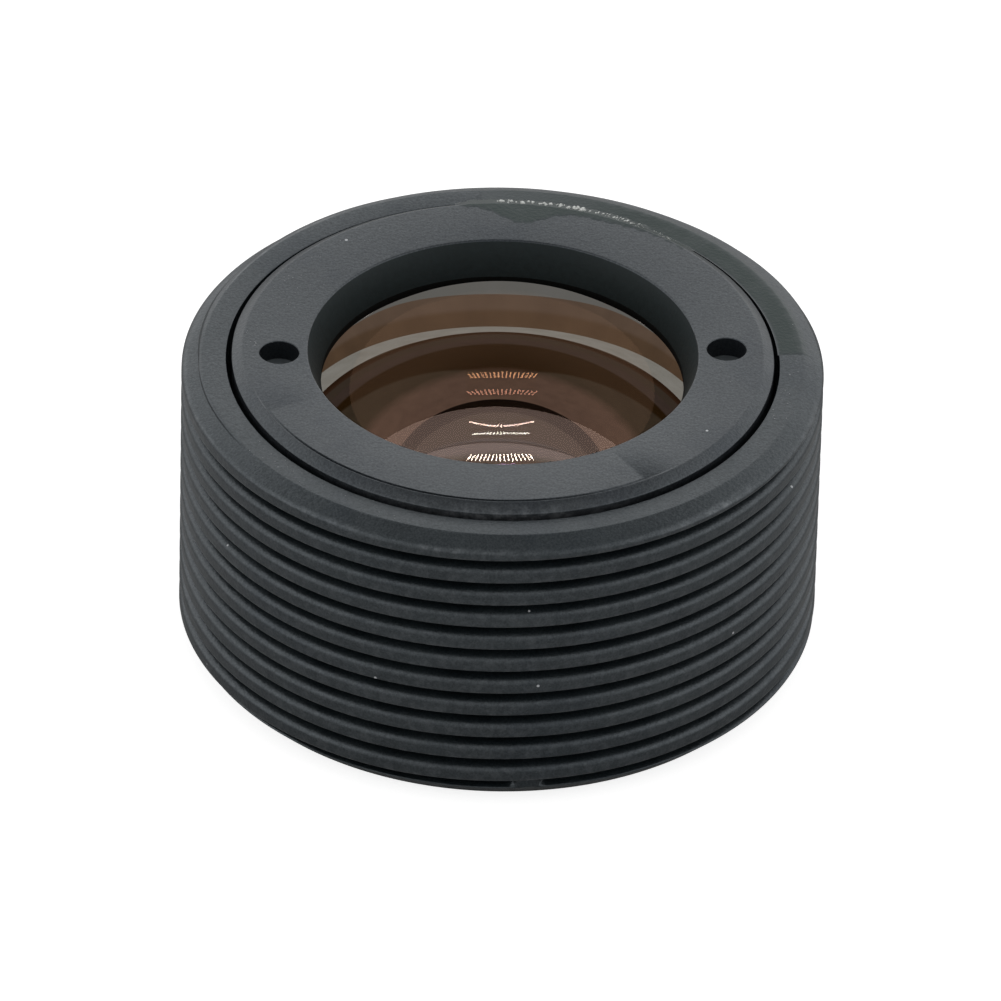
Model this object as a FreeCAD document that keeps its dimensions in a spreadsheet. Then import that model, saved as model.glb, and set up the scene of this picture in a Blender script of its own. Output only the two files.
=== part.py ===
import FreeCAD, Part
import Sketcher
import math
import os

# A fixed board camera lens: a short barrel with a full-length outside thread, a threaded
# retaining ring with two spanner holes, and the glass and rings stacked inside it.
# Millimetres. The barrel stands on its rear face: the origin is at the middle of that face,
# and +Z is the optical axis, pointing at the scene.

# Driving sizes: name, value and what it measures
DRIVING = [
    ("barrel_height", 5.85, "rear face to front face of the barrel"),
    ("thread_major", 12.0, "nominal outside diameter of the barrel thread"),
    ("thread_allowance", 0.02, "how far the crests stand inside the nominal radius"),
    ("thread_pitch", 0.5, "axial distance between turns"),
    ("thread_depth", 0.36, "crest to root of the barrel thread"),
    ("thread_half_angle", 30.0, "flank angle from the square section, in degrees"),
    ("thread_first_groove", 0.32, "front face down to the last groove, on the +X side"),
    ("front_chamfer_width", 0.38, "radial width of the shallow front chamfer"),
    ("front_chamfer_drop", 0.17, "axial depth of the shallow front chamfer"),
    ("rear_chamfer", 0.38, "both legs of the rear edge chamfer"),
    ("mouth_wall", 0.83, "crests of the thread in to the mouth of the barrel"),
    ("mouth_gap", 0.1, "open gap around the ring at the barrel mouth"),
    ("mouth_depth", 0.35, "how deep that open gap is"),
    ("ring_fit", 0.02, "radial clearance of the ring in its threaded bore"),
    ("ring_proud", 0.2, "ring face above the barrel face"),
    ("ring_thickness", 1.5, "ring face to the foot of its skirt"),
    ("ring_floor_gap", 0.1, "foot of the skirt to the floor of its bore"),
    ("ring_width", 1.41, "outside of the ring in to its conical opening"),
    ("ring_cone_width", 0.26, "radial width of the cone, from the ring face to its lip"),
    ("ring_lip_depth", 0.82, "ring face down to the lip that holds the glass"),
    ("ring_rim_width", 0.2, "radial width of the bevel round the ring face"),
    ("ring_rim_drop", 0.13, "axial depth of that bevel"),
    ("spanner_inset", 0.885, "outside of the ring in to the middle of a spanner hole"),
    ("spanner_hole", 0.76, "diameter of a spanner hole"),
    ("spanner_depth", 0.4, "depth of a spanner hole to its full diameter"),
    ("spanner_count", 2, "spanner holes"),
    ("spanner_angle", 3.3, "where the ring has come to rest, in degrees from +X"),
    ("lens_clearance", 0.05, "radial clearance of glass in its bore"),
    ("front_lens_hold", 0.17, "how far the front lens reaches out under the lip"),
    ("front_lens_depth", 3.48, "ring lip down to the ground flat of the front lens"),
    ("front_lens_front_curve", 5.0, "radius of its domed outer surface"),
    ("front_lens_flat", 0.235, "radial width of the ground flat around its hollow"),
    ("edge_bevel_width", 0.22, "radial width of the bevel outside that flat"),
    ("edge_bevel_rise", 0.25, "axial height of that bevel"),
    ("hollow_bevel_width", 0.16, "radial width of the ground bevel between flat and hollow"),
    ("hollow_bevel_rise", 0.15, "axial height of that bevel"),
    ("hollow_curve_ratio", 1.13, "radius of the hollow's surface over the radius of its rim"),
    ("front_spacer_share", 0.25, "share of the inner stack that the front spacer takes"),
    ("front_spacer_opening", 4.2, "diameter of the hole in the front spacer"),
    ("inner_lens_diameter", 4.4, "diameter of the lenses behind the front one"),
    ("second_lens_share", 0.3, "share of the inner stack that the second lens's edge takes"),
    ("second_lens_curve", 2.4, "radius of the second lens's domed outer surface"),
    ("second_lens_opening", 4.1, "diameter of that dome at its flat"),
    ("stop_share", 0.1, "share of the inner stack that the aperture stop takes"),
    ("stop_opening", 1.8, "diameter of the aperture"),
    ("rear_lens_curve", 9.0, "radius of the rear lens's slightly domed rear surface"),
    ("rear_lens_opening", 3.5, "diameter of that dome at its flat"),
    ("seat_opening", 3.6, "diameter of the hole through the rear seat"),
    ("seat_thickness", 0.2, "shoulder over the filter up to the rear seat"),
    ("filter_recess_depth", 0.35, "rear face up to the shoulder that holds the filter"),
    ("filter_diameter", 4.4, "diameter of the infrared filter"),
    ("filter_thickness", 0.25, "thickness of the infrared filter"),
    ("filter_glue_width", 0.25, "radial width of the adhesive fillet under the filter"),
    ("lock_glue_start", 50.0, "where the adhesive on the ring begins, in degrees from +X"),
    ("lock_glue_sweep", 50.0, "how far round the ring the adhesive reaches, in degrees"),
    ("lock_glue_film", 0.04, "thickness of the adhesive film over the ring"),
    ("lock_glue_width", 0.35, "width of the film on the ring face"),
    ("lock_glue_depth", 0.3, "how deep the adhesive fills the gap"),
]

# Sizes worked out from the driving ones
WORKED_OUT = [
    ("crest_radius", "=thread_major / 2 - thread_allowance", "crests of the barrel thread"),
    ("root_radius", "=crest_radius - thread_depth", "roots of the barrel thread"),
    ("groove_overcut", "=thread_depth / 4", "how far the cutting profile stands off the crests"),
    ("groove_half_top", "=(thread_depth + groove_overcut) * tan(thread_half_angle * 1 deg)",
     "half width of the cutting profile at its top"),
    ("thread_turns", "=ceil((barrel_height - thread_first_groove) / thread_pitch + 0.5)",
     "turns from below the rear face to the last groove"),
    ("thread_base", "=barrel_height - thread_first_groove - thread_turns * thread_pitch",
     "height of the middle of the groove where the cut starts"),
    ("mouth_radius", "=crest_radius - mouth_wall", "relief at the mouth of the barrel"),
    ("ring_radius", "=mouth_radius - mouth_gap", "outside of the ring"),
    ("ring_bore", "=ring_radius + ring_fit", "bore that takes the ring"),
    ("ring_opening", "=ring_radius - ring_width", "conical opening at the ring face"),
    ("spanner_circle", "=ring_radius - spanner_inset", "circle of the two spanner holes"),
    ("ring_face", "=barrel_height + ring_proud", "height of the ring face"),
    ("ring_foot", "=ring_face - ring_thickness", "height of the foot of the ring's skirt"),
    ("ring_floor", "=ring_foot - ring_floor_gap", "height of the floor of the ring's bore"),
    ("lip_radius", "=ring_opening - ring_cone_width", "where the lip touches the front lens"),
    ("lip_height", "=ring_face - ring_lip_depth", "height of that lip"),
    ("front_lens_radius", "=lip_radius + front_lens_hold", "edge of the front lens"),
    ("front_lens_rim", "=lip_height - sqrt(front_lens_front_curve ^ 2 - lip_radius ^ 2)"
     " + sqrt(front_lens_front_curve ^ 2 - front_lens_radius ^ 2)",
     "height of the front edge of the front lens"),
    ("front_bore", "=front_lens_radius + lens_clearance", "bore round the front lens"),
    ("front_lens_foot", "=lip_height - front_lens_depth", "height of the ground flat"),
    ("flat_radius", "=front_lens_radius - edge_bevel_width", "outside of that flat"),
    ("hollow_radius", "=flat_radius - front_lens_flat - hollow_bevel_width",
     "rim of the front lens's hollow"),
    ("hollow_curve", "=hollow_curve_ratio * hollow_radius", "radius of the hollow's surface"),
    ("rear_seat", "=filter_recess_depth + seat_thickness", "seat that carries the inner stack"),
    ("stack_height", "=front_lens_foot - rear_seat", "ground flat down to the rear seat"),
    ("front_shoulder", "=front_lens_foot - front_spacer_share * stack_height",
     "floor of the front bore"),
    ("inner_lens_radius", "=inner_lens_diameter / 2", "edge of the inner lenses"),
    ("inner_bore", "=inner_lens_radius + lens_clearance", "bore round the inner lenses"),
    ("second_lens_foot", "=front_shoulder - second_lens_share * stack_height",
     "rear rim of the second lens"),
    ("stop_foot", "=second_lens_foot - stop_share * stack_height",
     "rear face of the aperture stop"),
    ("filter_recess", "=filter_diameter / 2 + lens_clearance", "bore round the filter"),
    ("filter_foot", "=filter_recess_depth - filter_thickness", "rear face of the filter"),
]

doc = FreeCAD.newDocument("board_lens")


def fill_sheet(driving, worked_out):
    """Write every size into the sheet, with its name as the cell's alias."""
    sheet = doc.addObject("Spreadsheet::Sheet", "Sizes")
    for row, (name, value, meaning) in enumerate(driving + worked_out, start=1):
        sheet.set(f"A{row}", name)
        sheet.set(f"B{row}", str(value))
        sheet.setAlias(f"B{row}", name)
        sheet.set(f"C{row}", meaning)
    doc.recompute()
    return sheet


sizes = fill_sheet(DRIVING, WORKED_OUT)


def number(expression):
    """The value that a formula in the sheet's names has now."""
    value = sizes.evalExpression(expression)
    return float(getattr(value, "Value", value))


def linked(expression):
    """The same formula, as another object of the document reads it."""
    words = []
    for word in expression.split(" "):
        bare = word.strip("()")
        words.append(word.replace(bare, "Sizes." + bare) if bare[:1].isalpha() else word)
    return " ".join(words)


def new_body(name):
    body = doc.addObject("PartDesign::Body", name)
    body.Label = name
    body.Placement = FreeCAD.Placement()
    return body


def origin_plane(body, role):
    return next(item for item in body.Origin.OriginFeatures if item.Role == role)


def new_sketch(body, name, role):
    sketch = body.newObject("Sketcher::SketchObject", name)
    sketch.AttachmentSupport = [(origin_plane(body, role), "")]
    sketch.MapMode = "FlatFace"
    return sketch


ORIGIN_INDEX = -1
UPRIGHT_AXIS_INDEX = -2
START_INDEX, END_INDEX, CENTRE_INDEX = 1, 2, 3


def bind(sketch, constraint, expression):
    """Add a dimension to a sketch and tie it to the sheet."""
    index = sketch.addConstraint(constraint)
    sketch.setExpression(f"Constraints[{index}]", linked(expression))


def cap_apex(edge_radius, edge_height, curve, bulge):
    """Height of the middle of a spherical cap whose edge is known."""
    sag = curve - math.sqrt(curve ** 2 - edge_radius ** 2)
    return edge_height + bulge * sag


def section(body, name, corners):
    """A closed half section in the plane of radius and height, every size tied to the sheet.

    A corner is (radius, height), both formulas. A corner on the axis is (0, height), and
    the middle of a spherical cap is ("cap", curve, bulge), where the neighbour that isn't on
    the axis is the cap's edge and bulge is +1 where the cap's middle stands above its edge.
    """
    sketch = new_sketch(body, name, "XZ_Plane")
    count = len(corners)

    def is_cap(index):
        return corners[index % count][0] == "cap"

    def on_axis(index):
        return is_cap(index) or corners[index % count][0] == 0

    def cap_edge(index):
        after = corners[(index + 1) % count]
        return after if not on_axis(index + 1) else corners[index - 1]

    def place(index):
        if is_cap(index):
            _, curve, bulge = corners[index % count]
            radius, height = cap_edge(index % count)
            return FreeCAD.Vector(
                0, cap_apex(number(radius), number(height), number(curve), bulge), 0)
        radius, height = corners[index % count]
        return FreeCAD.Vector(0 if radius == 0 else number(radius), number(height), 0)

    def add_edge(index):
        """One side of the section; returns its number and which end is its first corner."""
        start, end = place(index), place(index + 1)
        cap = next((i % count for i in (index, index + 1)
                    if is_cap(i) and not (on_axis(index) and on_axis(index + 1))), None)
        if cap is None:
            edge = sketch.addGeometry(Part.LineSegment(start, end), False)
            return edge, START_INDEX, END_INDEX
        _, curve, bulge = corners[cap]
        apex = place(cap)
        centre = apex - FreeCAD.Vector(0, bulge * number(curve), 0)
        middle = (start + end) / 2 - centre
        middle = centre + middle.normalize() * number(curve)
        edge = sketch.addGeometry(Part.Arc(start, middle, end), False)
        first_point = sketch.getPoint(edge, START_INDEX)
        same_way = first_point.distanceToPoint(start) < first_point.distanceToPoint(end)
        sketch.addConstraint(Sketcher.Constraint("PointOnObject", edge, CENTRE_INDEX, UPRIGHT_AXIS_INDEX))
        bind(sketch, Sketcher.Constraint("Radius", edge, number(curve)), curve)
        return (edge, START_INDEX, END_INDEX) if same_way else (edge, END_INDEX, START_INDEX)

    edges = [add_edge(index) for index in range(count)]
    for index in range(count):
        edge, first, last = edges[index]
        following, following_first, _ = edges[(index + 1) % count]
        sketch.addConstraint(Sketcher.Constraint(
            "Coincident", edge, last, following, following_first))
        if on_axis(index):
            sketch.addConstraint(Sketcher.Constraint(
                "PointOnObject", edge, first, UPRIGHT_AXIS_INDEX))
        else:
            radius = corners[index][0]
            bind(sketch, Sketcher.Constraint(
                "DistanceX", ORIGIN_INDEX, START_INDEX, edge, first, number(radius)), radius)
        if not is_cap(index):
            height = corners[index][1]
            bind(sketch, Sketcher.Constraint(
                "DistanceY", ORIGIN_INDEX, START_INDEX, edge, first, number(height)), height)
    return sketch


def turn(body, name, corners, sweep="360"):
    """Turn a half section about the optical axis."""
    sketch = section(body, name + "_section", corners)
    turned = body.newObject("PartDesign::Revolution", name)
    turned.Profile = sketch
    turned.ReferenceAxis = (sketch, ["V_Axis"])
    turned.setExpression("Angle", linked(sweep))
    return turned


# Barrel


def make_barrel():
    """The turned barrel, with its bores from the ring at the front to the filter at the rear."""
    body = new_body("barrel")
    turn(body, "turned_blank", [
        ("mouth_radius", "barrel_height"),
        ("crest_radius - front_chamfer_width", "barrel_height"),
        ("crest_radius", "barrel_height - front_chamfer_drop"),
        ("crest_radius", "rear_chamfer"),
        ("crest_radius - rear_chamfer", "0"),
        ("filter_recess", "0"),
        ("filter_recess", "filter_recess_depth"),
        ("seat_opening / 2", "filter_recess_depth"),
        ("seat_opening / 2", "rear_seat"),
        ("inner_bore", "rear_seat"),
        ("inner_bore", "front_shoulder"),
        ("front_bore", "front_shoulder"),
        ("front_bore", "ring_floor"),
        ("ring_bore", "ring_floor"),
        ("ring_bore", "barrel_height - mouth_depth"),
        ("mouth_radius", "barrel_height - mouth_depth"),
    ])
    doc.recompute()
    groove = section(body, "thread_profile", [
        ("root_radius", "thread_base"),
        ("crest_radius + groove_overcut", "thread_base - groove_half_top"),
        ("crest_radius + groove_overcut", "thread_base + groove_half_top"),
    ])
    thread = body.newObject("PartDesign::SubtractiveHelix", "mounting_thread")
    thread.Profile = groove
    thread.ReferenceAxis = (groove, ["V_Axis"])
    thread.Mode = "pitch-height-angle"
    thread.setExpression("Pitch", linked("thread_pitch"))
    thread.setExpression("Height", linked("(thread_turns + 1) * thread_pitch"))
    return body


# Retaining ring


def make_retaining_ring():
    """A ring whose conical lip holds the glass and whose skirt screws into the barrel."""
    body = new_body("retaining_ring")
    turn(body, "turned_ring", [
        ("ring_opening", "ring_face"),
        ("ring_radius - ring_rim_width", "ring_face"),
        ("ring_radius", "ring_face - ring_rim_drop"),
        ("ring_radius", "ring_foot"),
        ("front_bore", "ring_foot"),
        ("front_bore", "lip_height"),
        ("lip_radius", "lip_height"),
    ])
    sketch = new_sketch(body, "spanner_hole_outline", "XY_Plane")
    sketch.setExpression("AttachmentOffset.Base.z", linked("ring_face"))
    sketch.setExpression("AttachmentOffset.Rotation.Angle", linked("spanner_angle"))
    centre = FreeCAD.Vector(number("spanner_circle"), 0, 0)
    hole = sketch.addGeometry(
        Part.Circle(centre, FreeCAD.Vector(0, 0, 1), number("spanner_hole / 2")), False)
    sketch.addConstraint(Sketcher.Constraint("PointOnObject", hole, CENTRE_INDEX, ORIGIN_INDEX))
    bind(sketch, Sketcher.Constraint(
        "DistanceX", ORIGIN_INDEX, START_INDEX, hole, CENTRE_INDEX, centre.x), "spanner_circle")
    bind(sketch, Sketcher.Constraint("Diameter", hole, number("spanner_hole")), "spanner_hole")
    pocket = body.newObject("PartDesign::Pocket", "spanner_hole_cut")
    pocket.Profile = sketch
    pocket.Type = "Length"
    pocket.setExpression("Length", linked("spanner_depth"))
    doc.recompute()
    holes = body.newObject("PartDesign::PolarPattern", "spanner_holes")
    holes.Originals = [pocket]
    holes.Axis = (sketch, ["N_Axis"])
    holes.Angle = 360
    holes.setExpression("Occurrences", linked("spanner_count"))
    body.Tip = holes
    return body


# Glass


def make_front_lens():
    """A thick negative meniscus, domed in front and deeply hollow behind."""
    body = new_body("front_lens")
    turn(body, "ground_lens", [
        ("cap", "front_lens_front_curve", 1),
        ("front_lens_radius", "front_lens_rim"),
        ("front_lens_radius", "front_lens_foot + edge_bevel_rise"),
        ("flat_radius", "front_lens_foot"),
        ("hollow_radius + hollow_bevel_width", "front_lens_foot"),
        ("hollow_radius", "front_lens_foot + hollow_bevel_rise"),
        ("cap", "hollow_curve", 1),
    ])
    return body


def make_second_lens():
    """A plano-convex lens whose dome reaches up into the hollow of the front lens."""
    body = new_body("second_lens")
    turn(body, "ground_lens", [
        ("cap", "second_lens_curve", 1),
        ("second_lens_opening / 2", "front_shoulder"),
        ("inner_lens_radius", "front_shoulder"),
        ("inner_lens_radius", "second_lens_foot"),
        (0, "second_lens_foot"),
    ])
    return body


def make_rear_lens():
    """The last lens, flat in front and slightly domed towards the sensor."""
    body = new_body("rear_lens")
    turn(body, "ground_lens", [
        (0, "stop_foot"),
        ("inner_lens_radius", "stop_foot"),
        ("inner_lens_radius", "rear_seat"),
        ("rear_lens_opening / 2", "rear_seat"),
        ("cap", "rear_lens_curve", -1),
    ])
    return body


def make_rear_filter():
    """The flat infrared filter in the recess of the rear face."""
    body = new_body("rear_filter")
    turn(body, "cut_disc", [
        (0, "filter_recess_depth"),
        ("filter_diameter / 2", "filter_recess_depth"),
        ("filter_diameter / 2", "filter_foot"),
        (0, "filter_foot"),
    ])
    return body


# Rings between the glasses


def make_flat_ring(name, inner, outer, top, foot):
    """A plain turned ring of square section, such as a spacer or the stop."""
    body = new_body(name)
    turn(body, "turned_ring", [(inner, top), (outer, top), (outer, foot), (inner, foot)])
    return body


# Adhesive


def make_filter_adhesive():
    """A fillet of adhesive in the corner between the filter and its recess."""
    body = new_body("filter_adhesive")
    turn(body, "fillet", [
        ("filter_recess - filter_glue_width", "filter_foot"),
        ("filter_recess", "filter_foot"),
        ("filter_recess", "0"),
    ])
    return body


def make_lock_adhesive():
    """The dark adhesive that locks the ring: a filled stretch of the gap and a film on top."""
    body = new_body("lock_adhesive")
    rim_top = "ring_radius - ring_rim_width"
    turn(body, "filled_gap", [
        (rim_top + " - lock_glue_width", "ring_face"),
        (rim_top + " - lock_glue_width", "ring_face + lock_glue_film"),
        (rim_top, "ring_face + lock_glue_film"),
        ("mouth_radius", "barrel_height + lock_glue_film"),
        ("mouth_radius", "barrel_height - lock_glue_depth"),
        ("ring_radius", "barrel_height - lock_glue_depth"),
        ("ring_radius", "ring_face - ring_rim_drop"),
        (rim_top, "ring_face"),
    ], "lock_glue_sweep")
    body.Placement = FreeCAD.Placement(
        FreeCAD.Vector(0, 0, 0), FreeCAD.Rotation(FreeCAD.Vector(0, 0, 1), 0))
    body.setExpression("Placement.Rotation.Angle", linked("lock_glue_start"))
    return body


PIECES = [
    make_barrel(),
    make_retaining_ring(),
    make_front_lens(),
    make_flat_ring("front_spacer", "front_spacer_opening / 2", "front_lens_radius",
                   "front_lens_foot", "front_shoulder"),
    make_second_lens(),
    make_flat_ring("aperture_stop", "stop_opening / 2", "inner_lens_radius",
                   "second_lens_foot", "stop_foot"),
    make_rear_lens(),
    make_rear_filter(),
    make_filter_adhesive(),
    make_lock_adhesive(),
]


def check_model():
    """Stop before anything is written if a feature failed or a piece isn't one sound solid."""
    for item in doc.Objects:
        if "Invalid" in item.State or "Error" in item.State:
            raise RuntimeError(f"{item.Name} failed: {item.State}")
    for piece in PIECES:
        shape = piece.Shape
        if shape.isNull() or not shape.isValid() or len(shape.Solids) != 1:
            raise RuntimeError(f"{piece.Label} is not one sound solid")


def write_pieces(folder):
    os.makedirs(folder, exist_ok=True)
    for piece in PIECES:
        piece.Shape.exportStep(os.path.join(folder, piece.Label + ".step"))
        print(f"{piece.Label}: {piece.Shape.Volume:.3f} mm3")


doc.recompute()
check_model()
write_pieces("parts")
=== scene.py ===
import math
import random

import bmesh
import bpy
import numpy as np
from mathutils import Matrix, Vector


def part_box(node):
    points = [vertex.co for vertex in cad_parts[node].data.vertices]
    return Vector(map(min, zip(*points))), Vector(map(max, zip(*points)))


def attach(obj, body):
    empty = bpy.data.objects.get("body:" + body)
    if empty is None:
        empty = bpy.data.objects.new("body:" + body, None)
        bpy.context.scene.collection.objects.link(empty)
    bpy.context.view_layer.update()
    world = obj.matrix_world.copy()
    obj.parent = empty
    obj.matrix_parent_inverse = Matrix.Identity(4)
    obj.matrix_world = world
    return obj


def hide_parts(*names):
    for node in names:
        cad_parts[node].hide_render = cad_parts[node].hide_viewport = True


# A fixed board camera lens on a white table. Lengths are in millimetres until they go into a
# mesh, lamp or camera, in metres. Azimuths are in degrees from +X, seen from above.

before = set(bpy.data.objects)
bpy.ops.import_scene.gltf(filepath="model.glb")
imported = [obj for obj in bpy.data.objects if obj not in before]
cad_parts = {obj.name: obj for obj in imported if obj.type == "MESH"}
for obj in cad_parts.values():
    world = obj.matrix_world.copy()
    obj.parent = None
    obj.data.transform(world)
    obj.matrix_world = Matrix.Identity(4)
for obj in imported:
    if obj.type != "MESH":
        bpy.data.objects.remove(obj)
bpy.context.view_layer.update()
random.seed(12)

MM = 0.001


def top(node):
    """Height of the highest point of a node, in millimetres."""
    return round(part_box(node)[1].z / MM, 3)


def foot(node):
    """Height of the lowest point of a node, in millimetres."""
    return round(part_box(node)[0].z / MM, 3)


# Barrel and thread
BARREL_TOP = top("barrel")
CREST = 5.98
ROOT = 5.62
PITCH = 0.5
FIRST_GROOVE = 0.32
FRONT_CHAMFER_WIDTH = 0.38
FRONT_CHAMFER_DROP = 0.17
REAR_CHAMFER = 0.38
CHAMFER_ROUND = 0.02
MOUTH = 5.15
MOUTH_DEPTH = 0.35
MOUTH_ROUND = 0.02
RING_CLEARANCE = 0.02
RING_SEAT_DROP = 0.1
RING_REACH = 5.1
REAR_EDGE = 0.01
COLUMNS = 360
GROOVE_HALF_WIDTH = 0.11
CREST_LOWER_ROUND = 0.04
CREST_UPPER_ROUND = 0.24
BRIDGE_AZIMUTH = -83.6
BRIDGE_HALF_WIDTH = 3.3
BRIDGE_TOP = 0.66
BRIDGE_SETBACK = 0.03
BRIDGE_SLOPE = 0.12

# Wear of the barrel, with painted light: on the crests' lower edges, partly wear and partly
# painted highlight, stronger at the sides; on the crests, painted light, weaker at the sides;
# and wear on the front edge, where a scuff is (azimuth, half width in degrees)
EDGE_WEAR_AND_HIGHLIGHT = 0.55
EDGE_HIGHLIGHT_SIDES = 0.8
EDGE_WEAR_AND_HIGHLIGHT_WIDTH = 0.014
CREST_PAINTED_LIGHT = 0.18
CREST_PAINTED_LIGHT_SIDES = 0.1
CREST_PAINTED_LIGHT_FADE = 0.02
FRONT_WEAR = 0.3
FRONT_WEAR_WIDTH = 0.016
SCUFF_WEAR = 0.7
SCUFFS = ((248.0, 12.0), (317.0, 9.0))

# Rows of the grid from the middle of a groove to its crest, closer at the crest's edge
GROOVE_LEVELS = [0.0, 0.015, 0.035, 0.06, 0.08, 0.09, 0.1, 0.11, 0.13, 0.17, 0.22]

# Retaining ring
RING_TOP = top("retaining_ring")
RING = 5.05
RING_FOOT = foot("retaining_ring")
RING_OPENING = 3.64
LIP = 3.38
LIP_TOP = RING_TOP - 0.82
RIM_WIDTH = 0.2
RIM_DROP = 0.13
RIM_ROUND = 0.02
LIP_WALL = 0.16
LIP_ROUND = 0.015
OPENING_ROUND = 0.03
RING_SEGMENTS = 240
RIM_WEAR_MIDDLE = -90.0
RIM_WEAR_HALF = 24.0
RIM_WEAR_RADIUS = RING - 0.01
RIM_WEAR_WIDTH = 0.03
LINE_RADIUS = 4.8
LINE_STEPS = (-0.03, -0.012, 0.012, 0.03)
LINE_DEPTH = 0.05
LINE_MIDDLE = -105.0
LINE_HALF = 58.0
SPANNER_CIRCLE = 4.165
SPANNER_HOLE = 0.38
SPANNER_DEPTH = 0.4
SPANNER_ANGLE = 3.3
SPANNER_BEVEL = 0.012
SPANNER_BEVEL_DROP = 0.015
SPANNER_SEGMENTS = 48

# Glass
GLASS_INDEX = 1.52
LENS = 3.55
BORE = 3.6
LENS_SEGMENTS = 256
LENS_STEPS = 48
FRONT_CURVE = 5.0
LENS_FLAT_TOP = 1.752
BEVEL_TOP = LENS_FLAT_TOP + 0.2
EDGE_START = LIP + 0.03
FLAT_OUT = 3.26
FLAT_OUT_TOP = 1.83
FLAT_IN = 3.095
HOLLOW = 2.86
HOLLOW_RIM = 2.03
HOLLOW_CURVE = 1.15 * HOLLOW
SHOULDER = foot("front_spacer")
INNER_LENS = 2.2
INNER_BORE = 2.25
SECOND_CURVE = 2.4
SECOND_DOME = 2.05
SECOND_SEGMENTS = 160
SECOND_STEPS = 32
SECOND_FOOT = foot("second_lens")
SEAT = 0.55
SEAT_HOLE = 1.8
FILTER_RECESS = 0.35


# Mesh building


def new_piece(name, verts, faces, materials, indices=None):
    """A smooth-shaded mesh object from points in millimetres."""
    mesh = bpy.data.meshes.new(name)
    mesh.from_pydata([tuple(c * MM for c in v) for v in verts], [], faces)
    obj = bpy.data.objects.new(name, mesh)
    bpy.context.scene.collection.objects.link(obj)
    for material in materials:
        mesh.materials.append(material)
    if indices is not None:
        mesh.polygons.foreach_set("material_index", indices)
    mesh.polygons.foreach_set("use_smooth", [True] * len(mesh.polygons))
    mesh.update()
    return obj


WELD_GAP = 2e-7
SHARP_ANGLE = 35.0
NORMAL_WEIGHT = 80
ROUND_STEPS = 3
LONGEST_ROUND = 0.45


def weld(obj):
    """Join points that lie together and point every face outwards."""
    work = bmesh.new()
    work.from_mesh(obj.data)
    bmesh.ops.remove_doubles(work, verts=work.verts, dist=WELD_GAP)
    bmesh.ops.dissolve_degenerate(work, edges=work.edges, dist=WELD_GAP)
    bmesh.ops.recalc_face_normals(work, faces=work.faces)
    work.to_mesh(obj.data)
    work.free()


def weigh_normals(obj):
    """Let the large flat faces keep their normals, so that only the small rounds bend light."""
    modifier = obj.modifiers.new("flat_faces", "WEIGHTED_NORMAL")
    modifier.weight = NORMAL_WEIGHT
    modifier.keep_sharp = True


def sharpen(work):
    """Keep the edges sharp where two faces meet at a large angle."""
    for edge in work.edges:
        if len(edge.link_faces) == 2:
            edge.smooth = edge.calc_face_angle() < math.radians(SHARP_ANGLE)


def rounded(corners):
    """A half section with rounded corners. A corner is (radius, height[, rounding])."""
    points = []
    count = len(corners)
    for index, corner in enumerate(corners):
        here = Vector(corner[:2])
        size = corner[2] if len(corner) > 2 else 0.0
        before = Vector(corners[index - 1][:2]) - here
        after = Vector(corners[(index + 1) % count][:2]) - here
        size = min(size, before.length * LONGEST_ROUND, after.length * LONGEST_ROUND)
        if size <= 0 or here.x == 0:
            points.append(tuple(here))
            continue
        start = here + before.normalized() * size
        end = here + after.normalized() * size
        for step in range(ROUND_STEPS + 1):
            t = step / ROUND_STEPS
            points.append(tuple((1 - t) ** 2 * start + 2 * t * (1 - t) * here + t * t * end))
    return points


def ring_of(radius, height, segments):
    """A circle of points."""
    return [(radius * math.cos(a), radius * math.sin(a), height)
            for a in (math.tau * k / segments for k in range(segments))]


def turned(name, section, materials, segments, zones=None, closed=True):
    """A half section turned about the axis. Points at radius 0 become one point.

    zones(radius, height) gives the material number of the face between two section points.
    """
    verts, faces, indices, rows = [], [], [], []
    for radius, height in section:
        if radius < 1e-6:
            rows.append([len(verts)])
            verts.append((0, 0, height))
        else:
            rows.append(list(range(len(verts), len(verts) + segments)))
            verts.extend(ring_of(radius, height, segments))
    pairs = list(zip(range(len(section)), range(1, len(section))))
    if closed:
        pairs.append((len(section) - 1, 0))
    for a, b in pairs:
        first, second = rows[a], rows[b]
        if len(first) == len(second) == 1:
            continue
        middle = [(section[a][k] + section[b][k]) / 2 for k in (0, 1)]
        number = zones(*middle) if zones else 0
        for k in range(segments):
            following = (k + 1) % segments
            if len(first) == 1:
                face = (first[0], second[k], second[following])
            elif len(second) == 1:
                face = (first[k], second[0], first[following])
            else:
                face = (first[k], second[k], second[following], first[following])
            faces.append(face)
            indices.append(number)
    return new_piece(name, verts, faces, materials, indices)


def sag(curve, radius):
    """How far a sphere falls from its top at this radius."""
    return curve - math.sqrt(curve ** 2 - radius ** 2)


def cap(edge_radius, edge_height, curve, steps):
    """Section points of a spherical cap from its edge to its middle."""
    apex = edge_height + sag(curve, edge_radius)
    limit = math.asin(edge_radius / curve)
    points = []
    for step in range(steps + 1):
        angle = limit * (1 - step / steps)
        points.append((curve * math.sin(angle), apex - curve * (1 - math.cos(angle))))
    points[-1] = (0, apex)
    return points


def smooth_min(a, b, width):
    """The lower of two surfaces, with their meeting edge rounded."""
    near = np.maximum(width - np.abs(a - b), 0) / width
    return np.minimum(a, b) - near * near * width / 4


def give_values(obj, name, values):
    """Store one number for each point, which a material reads."""
    attribute = obj.data.attributes.new(name, "FLOAT", "POINT")
    attribute.data.foreach_set("value", values)


def settle(obj, node):
    """Let a piece stand for a CAD node that doesn't move."""
    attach(obj, "root")
    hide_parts(node)


# Materials


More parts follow.
